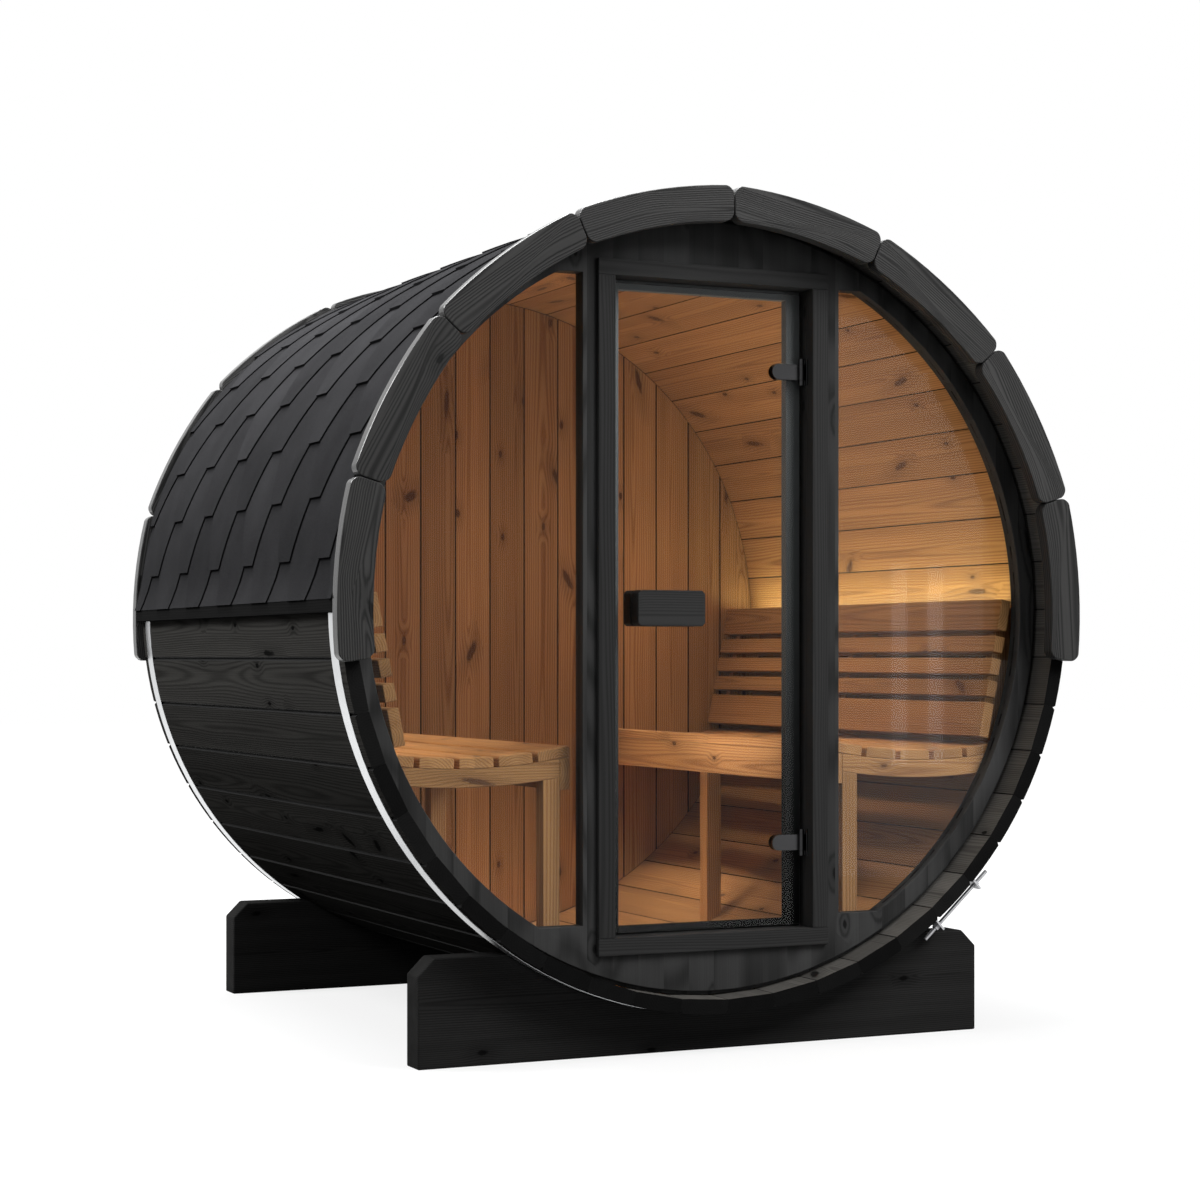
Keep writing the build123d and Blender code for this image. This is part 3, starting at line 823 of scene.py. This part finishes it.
@dataclass
class TwoTone(Dressed):
    """Boards of one finish outside the cabin and another one inside."""

    def solid(self) -> BMesh:
        """Cut the boards where the end walls meet them, and sort their faces by side.

        Returns:
            The mesh before its edges are eased.
        """
        made = merged_solid(self.node)
        for y in (BARREL.front_wall, BARREL.rear_wall):
            whole = made.verts[:] + made.edges[:] + made.faces[:]
            bmesh.ops.bisect_plane(
                made, geom=whole, plane_co=(0, y, 0), plane_no=(0, 1, 0), dist=MERGE_DISTANCE,
            )
        made.normal_update()
        for face in made.faces:
            face.material_index = int(BARREL.within(face.calc_center_median()))
        return made


@dataclass
class Staves(TwoTone):
    """Staves, with dark end grain and a dark line where they meet on their inner side."""

    def solid(self) -> BMesh:
        """Mark the spots of the staves.

        Returns:
            The mesh with its faces sorted by spot.
        """
        made = super().solid()
        for face in made.faces:
            facing = face.normal.dot(BARREL.outward(face.calc_center_median()))
            inside = face.material_index == Spot.INSIDE
            if abs(face.normal.y) > SQUARE_ON:
                face.material_index = Spot.END
            elif inside and facing > -SQUARE_ON:
                face.material_index = Spot.GROOVE
            # Painted shade: the staves' outer groove faces take the near-black seal finish.
            elif abs(facing) < SQUARE_ON:
                face.material_index = Spot.SHADOW
            # Painted light: the staves' inner faces in front of the front wall take the lighter
            # copy of the black stave wood.
            elif not inside and facing < 0:
                face.material_index = Spot.OVERHANG
        return made


@dataclass
class TrimBoards(Dressed):
    """Arched trim boards with rounded corners and outer edges of another finish."""

    corner: float = 0.008
    corner_steps: int = 5
    planed_lean: float = 0.7  # Cosine of the furthest lean of an outer edge.

    def solid(self) -> BMesh:
        """Round the corners of the boards and mark their outer edges.

        Returns:
            The mesh before its edges are eased.
        """
        made = merged_solid(self.node)
        corners = [
            edge for edge in made.edges
            if edge.calc_face_angle(0.0) > SHARP_ANGLE
            and abs((edge.verts[0].co - edge.verts[1].co).normalized().y) > PARALLEL
        ]
        bmesh.ops.bevel(
            made, geom=corners, offset=self.corner, segments=self.corner_steps, profile=0.5,
            affect="EDGES",
        )
        made.normal_update()
        for face in made.faces:
            facing = face.normal.dot(BARREL.outward(face.calc_center_median()))
            face.material_index = int(facing > self.planed_lean)
        return made


@dataclass
class Pane(Dressed):
    """Glass of a window or the door, with edges of another finish."""

    def solid(self) -> BMesh:
        """Mark the edges of the pane.

        Returns:
            The pane's mesh.
        """
        made = merged_solid(self.node)
        for face in made.faces:
            face.material_index = int(abs(face.normal.y) < SQUARE_ON)
        return made


@dataclass
class FrontPanel:
    """Front wall: one panel glued from upright strips, cut out round the door and both windows."""

    finish: Material
    step: float = 0.010  # Width of the shadow gap beside the staves.
    step_depth: float = 0.012
    ease: float = 0.002  # Width of its eased edges.
    ease_steps: int = 2  # Steps across an eased edge.
    segments: int = 192  # Sides of its round.
    overrun: float = 30.0  # Depth of a window's cutter, as a multiple of the glass.

    @property
    def nodes(self) -> tuple[str, ...]:
        """The construction nodes that make up the wall."""
        sides = (f"{side}_{part}" for side in SIDES for part in ("post", "window_frame"))
        return *sides, "header_panel", "sill_panel"

    def blank(self) -> BMesh:
        """Round panel with a shadow gap along its rim.

        Returns:
            The mesh.
        """
        low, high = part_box("header_panel")
        rim = BARREL.radius - BARREL.wall
        inner, deep = rim - self.step, low.y + self.step_depth
        turns = [math.tau * number / self.segments for number in range(self.segments)]
        made = bmesh.new()
        rows = []
        for radius, y in ((inner, low.y), (inner, deep), (rim, deep), (rim, high.y)):
            places = (
                (radius * math.cos(turn), y, BARREL.axis_height + radius * math.sin(turn))
                for turn in turns
            )
            rows.append([made.verts.new(place) for place in places])
        for near, far in zip(rows, rows[1:]):
            for number in range(self.segments):
                follow = (number + 1) % self.segments
                made.faces.new((near[number], near[follow], far[follow], far[number]))
        made.faces.new(rows[0])
        made.faces.new(rows[-1])
        bmesh.ops.recalc_face_normals(made, faces=made.faces)
        return made

    def cutters(self) -> list[Object]:
        """Solids that cut the doorway and the windows out of the panel.

        Returns:
            The solids.
        """
        made = []
        for side in SIDES:
            pane = merged_solid(f"{side}_window_glass")
            low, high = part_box(f"{side}_window_glass")
            middle = (low.y + high.y) / 2
            for vert in pane.verts:
                vert.co.y = middle + (vert.co.y - middle) * self.overrun
            made.append(place_object(f"{side}_window_cut", pane))
        low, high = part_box("door_rail")[0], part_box("door_head")[1]
        middle = (low.y + high.y) / 2
        block = bmesh.new()
        bmesh.ops.create_cube(block, size=1.0)
        for vert in block.verts:
            x, y, z = vert.co
            vert.co = (high.x if x > 0 else low.x, middle + y, high.z if z > 0 else low.z)
        made.append(place_object("doorway_cut", block))
        return made

    def build(self) -> None:
        """Make the panel and put it in place of the wall's nodes."""
        piece = place_object("front_panel", self.blank())
        cutters = self.cutters()
        for cutter in cutters:
            cut = piece.modifiers.new(cutter.name, "BOOLEAN")
            cut.operation = "DIFFERENCE"
            cut.solver = "EXACT"
            cut.object = cutter
        ease_edges(piece, self.ease, self.ease_steps)
        settle(piece)
        for cutter in cutters:
            bpy.data.meshes.remove(cutter.data)
        piece.data.materials.clear()
        piece.data.materials.append(self.finish)
        shade(piece)
        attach(piece, "cabin")
        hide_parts(*self.nodes)
        log.info("built the front panel: %d faces", len(piece.data.polygons))


@dataclass
class ShingleRoof:
    """Hexagonal shingle tabs over one side of the barrel's top half."""

    hand: Hand
    finish: Material
    seed: int
    pitch: float = 0.300  # Distance between tabs along the barrel.
    foot: float = 0.085  # Width of a tab's lower edge.
    slant: float = 0.065  # How far each side of a tab slants out in one course.
    course: float = 0.1522
    eaves: float = 0.008  # Height of the eaves' edge above the axis, along the roof.
    kick: float = 0.097  # Length of the kicked-out first course.
    flare: float = 0.0152  # How far the kick stands out at the eaves.
    first_tab: float = -0.7695  # Y of the middle of the first tab of the first full course.
    least: float = 0.001  # Thickness of a tab's head.
    lift: float = 0.0075  # How far a tab's foot stands out over its head.
    loose: float = 0.006  # Furthest shift of a tab, as a share of the pitch.
    courses: int = 9
    under_cap: float = 0.012  # How far the last course runs under the ridge cap.

    @property
    def node(self) -> str:
        """The construction node that the tabs stand for."""
        return f"{self.hand.name.lower()}_shingles"

    @property
    def radius(self) -> float:
        """Radius of the roof under the tabs."""
        low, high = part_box("ridge_cap")
        return math.hypot((high.x - low.x) / 2, low.z - BARREL.axis_height)

    def inputs(self) -> dict[str, float | int]:
        """Work out the values of the tree's inputs.

        Returns:
            The values, by name.
        """
        spare_rows, spare_columns = 2, 3
        rows = self.courses + spare_rows
        columns = int((BARREL.back - BARREL.front) / self.pitch) + spare_columns
        return {
            "Pitch": self.pitch, "Foot": self.foot, "Slant": self.slant,
            "Course": self.course, "Least": self.least, "Lift": self.lift, "Loose": self.loose,
            "First Tab": self.first_tab - self.pitch,
            "First Line": self.eaves + self.kick - 2 * self.course,
            "Eaves": self.eaves, "Kick": self.kick, "Flare": self.flare,
            "Radius": self.radius, "Axis Height": BARREL.axis_height, "Hand": self.hand.value,
            "Count": rows * columns, "Columns": columns, "Seed": self.seed,
        }

    def tab_shape(self, w: Wiring, size: Any) -> Socket:
        """One flat tab: a hexagon, thick at its foot.

        Args:
            w: Wiring of the tree.
            size: The tree's inputs.

        Returns:
            The tab's mesh.
        """
        corners = {"Vertices X": 3, "Vertices Y": 9, "Vertices Z": 2}
        block = w.node("GeometryNodeMeshCube", corners)["Mesh"]
        x, y, z = w.split(w.node("GeometryNodeInputPosition")[0])
        up = w.total(y, 0.5)
        belly = w.minus(1.0, w.math("ABSOLUTE", w.times(y, 2.0)))
        width = w.total(size["Foot"], w.times(size["Slant"], 2.0, belly))
        rise = w.times(up, w.times(size["Course"], 2.0))
        thick = w.total(size["Least"], w.times(size["Lift"], w.minus(1.0, up)))
        place = w.join(w.times(x, width), rise, w.times(w.total(z, 0.5), thick))
        return w.node("GeometryNodeSetPosition", {"Geometry": block, "Position": place})[0]

    def tab_places(self, w: Wiring, size: Any) -> Socket:
        """Points for the tabs, course by course, every second course half a pitch on.

        Args:
            w: Wiring of the tree.
            size: The tree's inputs.

        Returns:
            The points.
        """
        number = w.node("GeometryNodeInputIndex")[0]
        row = w.math("FLOOR", w.math("DIVIDE", number, size["Columns"]))
        column = w.minus(number, w.times(row, size["Columns"]))
        odd = w.times(w.math("MODULO", row, 2.0), 0.5)
        along = w.times(w.total(column, odd), size["Pitch"])
        limits = {"Min": -1.0, "Max": 1.0, "Seed": size["Seed"]}
        shift = w.node("FunctionNodeRandomValue", limits, data_type="FLOAT")["Value"]
        loose = w.times(shift, w.times(size["Pitch"], size["Loose"]))
        line = w.total(size["First Line"], w.times(row, size["Course"]))
        place = w.join(w.total(size["First Tab"], along, loose), line, 0.0)
        return w.node("GeometryNodePoints", {"Count": size["Count"], "Position": place})[0]

    def bent(self, w: Wiring, size: Any, flat: Socket) -> Socket:
        """Bend the flat field of tabs round the barrel and kick it out at the eaves.

        Args:
            w: Wiring of the tree.
            size: The tree's inputs.
            flat: The flat tabs.

        Returns:
            The bent tabs.
        """
        x, y, z = w.split(w.node("GeometryNodeInputPosition")[0])
        turn = w.math("DIVIDE", y, size["Radius"])
        run = w.math("DIVIDE", w.minus(y, size["Eaves"]), size["Kick"])
        short = w.math("MAXIMUM", w.minus(1.0, run), 0.0)
        kick = w.times(size["Flare"], w.math("POWER", short, 2.0))
        radius = w.total(size["Radius"], z, kick)
        side = w.times(radius, w.math("COSINE", turn), size["Hand"])
        height = w.total(size["Axis Height"], w.times(radius, w.math("SINE", turn)))
        place = w.join(side, x, height)
        return w.node("GeometryNodeSetPosition", {"Geometry": flat, "Position": place})[0]

    def tree(self) -> bpy.types.NodeTree:
        """Geometry tree of the tabs.

        Returns:
            The tree.
        """
        tree = bpy.data.node_groups.new(f"{self.node}_tabs", "GeometryNodeTree")
        add = tree.interface.new_socket
        for name, value in self.inputs().items():
            kind = "Int" if isinstance(value, int) else "Float"
            add(name=name, in_out="INPUT", socket_type=f"NodeSocket{kind}")
        add(name="Material", in_out="INPUT", socket_type="NodeSocketMaterial")
        add(name="Geometry", in_out="OUTPUT", socket_type="NodeSocketGeometry")
        w = Wiring(tree)
        size = w.node("NodeGroupInput")
        tabs = w.node(
            "GeometryNodeInstanceOnPoints",
            {"Points": self.tab_places(w, size), "Instance": self.tab_shape(w, size)},
        )
        chance = w.node("FunctionNodeRandomValue", {"Seed": size["Seed"]}, data_type="FLOAT")
        toned = w.node(
            "GeometryNodeStoreNamedAttribute",
            {"Geometry": tabs[0], "Name": TONE, "Value": chance["Value"]},
            data_type="FLOAT", domain="INSTANCE",
        )
        real = w.node("GeometryNodeRealizeInstances", {"Geometry": toned[0]})
        bent = {"Geometry": self.bent(w, size, real[0]), "Material": size["Material"]}
        w.node("NodeGroupOutput", {0: w.node("GeometryNodeSetMaterial", bent)[0]})
        return tree

    def trim(self, mesh: Mesh) -> None:
        """Cut the field of tabs at the eaves, the ridge and both ends, and close the cuts.

        Args:
            mesh: The tabs' mesh.
        """
        made = bmesh.new()
        made.from_mesh(mesh)
        sign = self.hand.value
        top = self.eaves + self.kick + self.courses * self.course + self.under_cap
        low, high = self.eaves / self.radius, top / self.radius
        gap = MERGE_DISTANCE * 10
        axis = (0, 0, BARREL.axis_height)
        for point, normal in (
            ((0, BARREL.front + gap, 0), (0, -1, 0)),
            ((0, BARREL.back - gap, 0), (0, 1, 0)),
            (axis, (sign * math.sin(low), 0, -math.cos(low))),
            (axis, (-sign * math.sin(high), 0, math.cos(high))),
        ):
            whole = made.verts[:] + made.edges[:] + made.faces[:]
            cut = bmesh.ops.bisect_plane(
                made, geom=whole, plane_co=point, plane_no=normal, clear_outer=True,
                dist=MERGE_DISTANCE,
            )
            edges = [part for part in cut["geom_cut"] if isinstance(part, bmesh.types.BMEdge)]
            bmesh.ops.holes_fill(made, edges=edges, sides=0)
        bmesh.ops.recalc_face_normals(made, faces=made.faces)
        made.to_mesh(mesh)
        made.free()

    def build(self) -> None:
        """Make the tabs and put them in place of the plain courses."""
        piece = place_object(f"{self.node}_tabs", bmesh.new())
        modifier = piece.modifiers.new("tabs", "NODES")
        modifier.node_group = self.tree()
        values = self.inputs() | {"Material": self.finish}
        for item in modifier.node_group.interface.items_tree:
            if item.in_out == "INPUT":
                modifier[item.identifier] = values[item.name]
        settle(piece)
        self.trim(piece.data)
        shade(piece)
        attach(piece, "cabin")
        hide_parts(self.node)
        SLOT_OF[self.node]
        log.info("laid %s: %d faces", self.node, len(piece.data.polygons))


@dataclass(frozen=True)
class Lamp:
    """A soft area lamp."""

    name: str
    place: Point
    aim: Point
    size: tuple[float, float]
    power: float  # In watts.
    color: Point = (1.0, 1.0, 1.0)
    spread: float = 180.0  # Angle of its beam in degrees.
    shine: bool = True  # Whether gloss shows it.

    def hang(self) -> None:
        """Put the lamp in the scene."""
        data = bpy.data.lights.new(self.name, "AREA")
        data.shape = "RECTANGLE"
        data.size, data.size_y = self.size
        data.energy = self.power
        data.spread = math.radians(self.spread)
        data.color = self.color
        lamp = bpy.data.objects.new(self.name, data)
        lamp.location = self.place
        way = Vector(self.aim) - Vector(self.place)
        lamp.rotation_euler = way.to_track_quat("-Z", "Y").to_euler()
        lamp.visible_camera = False
        lamp.visible_transmission = False
        lamp.visible_glossy = self.shine
        bpy.context.scene.collection.objects.link(lamp)


@dataclass
class Studio:
    """Camera, floor and light."""

    lens: float = 75.47  # Focal length in millimetres on the sensor.
    sensor: float = 36.0
    shift: float = 0.0472  # Vertical shift of the lens, as a share of the frame.
    place: Point = (-2.9285, -6.3775, 0.9829)
    heading: float = -25.116  # The camera's turn about the vertical, in degrees.
    surround: float = 0.24  # Strength of the white surroundings as a light.
    floor_size: float = 60.0
    floor_near: float = 1.2  # Where the floor starts to whiten.
    floor_far: float = 4.5  # Where the floor is white.
    floor_tone: float = 0.8  # Glow of the floor near the barrel.

    def camera(self) -> None:
        """Put the camera where the photographer stood."""
        data = bpy.data.cameras.new("camera")
        data.lens = self.lens
        data.sensor_width = self.sensor
        data.shift_y = self.shift
        camera = bpy.data.objects.new("camera", data)
        camera.location = self.place
        camera.rotation_euler = (math.radians(90), 0, math.radians(self.heading))
        bpy.context.scene.collection.objects.link(camera)
        bpy.context.scene.camera = camera

    def seen(self, w: Wiring) -> Socket:
        """1 for rays from the eye, from gloss or through glass, and 0 for light."""
        rays = w.node("ShaderNodeLightPath")
        kinds = (rays[f"Is {kind} Ray"] for kind in ("Camera", "Glossy", "Transmission"))
        return reduce(lambda first, second: w.math("MAXIMUM", first, second), kinds)

    def world(self) -> None:
        """White surroundings that give a dimmer light."""
        world = bpy.data.worlds.new("studio")
        bpy.context.scene.world = world
        world.use_nodes = True
        w = Wiring(world.node_tree)
        strength = w.scaled(self.seen(w), 1.0 - self.surround, self.surround)
        w.fill(world.node_tree.nodes["Background"], {"Color": grey(1.0), "Strength": strength})

    def floor(self) -> None:
        """Pale floor, whiter further out, that keeps the soft shadow and reflects little."""
        flat = bmesh.new()
        bmesh.ops.create_grid(flat, x_segments=1, y_segments=1, size=self.floor_size / 2)
        floor = place_object("floor", flat)
        material, w, shader = new_material("pale_floor")
        w.fill(shader, {"Base Color": grey(0.06), "Roughness": 1.0, "Specular IOR Level": 0.0})
        away = w.node("ShaderNodeVectorMath", {0: w.place()}, operation="LENGTH")["Value"]
        whiter = w.step(away, self.floor_near, self.floor_far)
        lit = w.scaled(whiter, 1.0 - self.floor_tone, self.floor_tone)
        pale = w.node("ShaderNodeBsdfDiffuse", {"Color": grey(0.14)})[0]
        white = w.node("ShaderNodeEmission", {"Color": grey(1.0), "Strength": lit})[0]
        shown = w.node("ShaderNodeAddShader", {0: pale, 1: white})[0]
        shaders = {0: self.seen(w), 1: shader.outputs[0], 2: shown}
        w.show(w.node("ShaderNodeMixShader", shaders)[0])
        floor.data.materials.append(material)

    def studio_lamps(self) -> list[Lamp]:
        """Lamps round the barrel.

        Returns:
            The lamps.
        """
        middle = (0.0, 0.0, BARREL.axis_height)
        thin = (0.6, -0.8, 0.95), (0.07, 0.9), 1.2
        return [
            Lamp("top_light", (-0.6, 0.6, 5.4), middle, (4.0, 4.0), 900.0),
            Lamp("left_light", (-4.2, 1.4, 4.4), middle, (1.6, 1.6), 260.0),
            Lamp("left_front_light", (-5.4, -2.5, 3.6), middle, (1.2, 1.2), 50.0),
            Lamp("right_front_light", (2.6, -3.9, 4.8), middle, (3.0, 3.0), 370.0, shine=False),
            Lamp("strip_light", (3.02, -4.8, 1.2), (0.6, -0.8, 1.2), (0.8, 2.6), 19.0),
            Lamp("inner_thin_light", (3.03, -4.76, 0.95), *thin),
            Lamp("outer_thin_light", (3.22, -4.76, 0.95), *thin),
        ]

    def cabin_lamps(self) -> list[Lamp]:
        """Warm lamps in the cabin, which gloss doesn't show.

        Returns:
            The lamps.
        """
        warm, pale = (1.0, 0.87, 0.68), (1.0, 0.92, 0.82)
        high, side = BARREL.axis_height + 0.66, 0.6
        rows = [
            ("cabin_light", (-0.3, -0.2, high), (0.45, 0.15, 0.5), (0.4, 0.3), 2.4, warm, 120.0),
            ("ceiling_light", (0.0, -0.2, 0.62), (0.35, -0.2, 2.0), (0.5, 0.5), 4.5, pale, 140.0),
            ("floor_light", (-0.35, 0.15, 1.6), (0.22, 0.35, 0.15), (0.2, 0.2), 3.0, warm, 40.0),
        ]
        for hand in Hand:
            name, x = f"{hand.name.lower()}_seat_light", side * hand.value
            rows.append((name, (x, 0.0, high), (x, 0.0, 0.0), (0.2, 1.3), 3.2, warm, 60.0))
        return [Lamp(*row, shine=False) for row in rows]

    def build(self) -> None:
        """Set up the camera, the floor and the light."""
        bpy.context.scene.view_settings.view_transform = "Standard"
        self.camera()
        self.world()
        self.floor()
        for lamp in self.studio_lamps() + self.cabin_lamps():
            lamp.hang()


def dress_cabin(looks: Finishes) -> None:
    """Dress the staves, trim, walls, benches, steel and lights of the cabin.

    Args:
        looks: The materials.
    """
    first_seed = 100
    spots = (looks.natural, looks.joint, looks.end_grain, looks.seal, looks.overhang)
    inside = (looks.natural, looks.joint)
    pieces: list[Dressed] = [
        Staves(f"{side}_staves", looks.matt, run=Run.COOPERED, others=spots)
        for side in ("bottom", "left", "right", "top")
    ]
    pieces.append(
        TwoTone("rear_wall", looks.matt, ease=0.0022, segments=1, others=inside, ease_slot=2)
    )
    for end in ("front", "rear"):
        pieces += [
            TrimBoards(
                f"{end}_trim", looks.black, ease=0.0025, run=Run.ROUND, others=(looks.planed,),
            ),
            Dressed(f"{end}_cradle", looks.cradle, ease=0.004),
            Dressed(f"{end}_band", looks.steel),
            Dressed(f"{end}_tensioner", looks.rod),
        ]
    for side in SIDES:
        pieces += [
            # Painted shade: the eaves battens take the darkest finish for the shade under the
            # shingles' overhang.
            Dressed(f"{side}_eaves", looks.end_grain, ease=0.0015),
            Dressed(f"{side}_jamb", looks.frame, ease=0.0015),
            Pane(f"{side}_window_glass", looks.glass, others=(looks.seal,)),
            Dressed(f"{side}_bench_slats", looks.natural, ease=0.002),
            Dressed(f"{side}_bench_frame", looks.natural, ease=0.002),
            Dressed(f"{side}_backrest", looks.backrest, ease=0.002),
            Dressed(f"{side}_uprights", looks.natural, ease=0.002),
        ]
    pieces += [
        Dressed("door_head", looks.frame, ease=0.0015),
        Dressed("door_rail", looks.frame, ease=0.0015),
        Dressed("door_stops", looks.stop, ease=0.0015),
        Dressed("hinge_bases", looks.hinge, ease=0.0008),
        Dressed("ridge_cap", looks.shingle, ease=0.001),
    ]
    for seed, piece in enumerate(pieces, first_seed):
        piece.build(seed)
    FrontPanel(looks.panel).build()
    strips = frame["nodes"]["light_strips"].data.materials
    strips.clear()
    strips.append(looks.glow)
    log.info("finished light_strips")


def dress_door(looks: Finishes) -> None:
    """Dress the parts that swing with the door.

    Args:
        looks: The materials.
    """
    Dressed("door_handle", looks.frame, body="door", ease=0.0012).build(seed=41)
    Dressed("hinge_leaves", looks.hinge, body="door", ease=0.0008).build(seed=42)
    Pane("door_glass", looks.glass, body="door", others=(looks.seal,)).build(seed=43)


def main() -> None:
    """Build the dressed sauna and its studio."""
    logging.basicConfig(level=logging.INFO, format="%(name)s: %(message)s")
    looks = Finishes()
    dress_cabin(looks)
    dress_door(looks)
    ShingleRoof(Hand.LEFT, looks.shingle, seed=11).build()
    ShingleRoof(Hand.RIGHT, looks.shingle, seed=5).build()
    Studio().build()


if __name__ == "__main__":
    main()
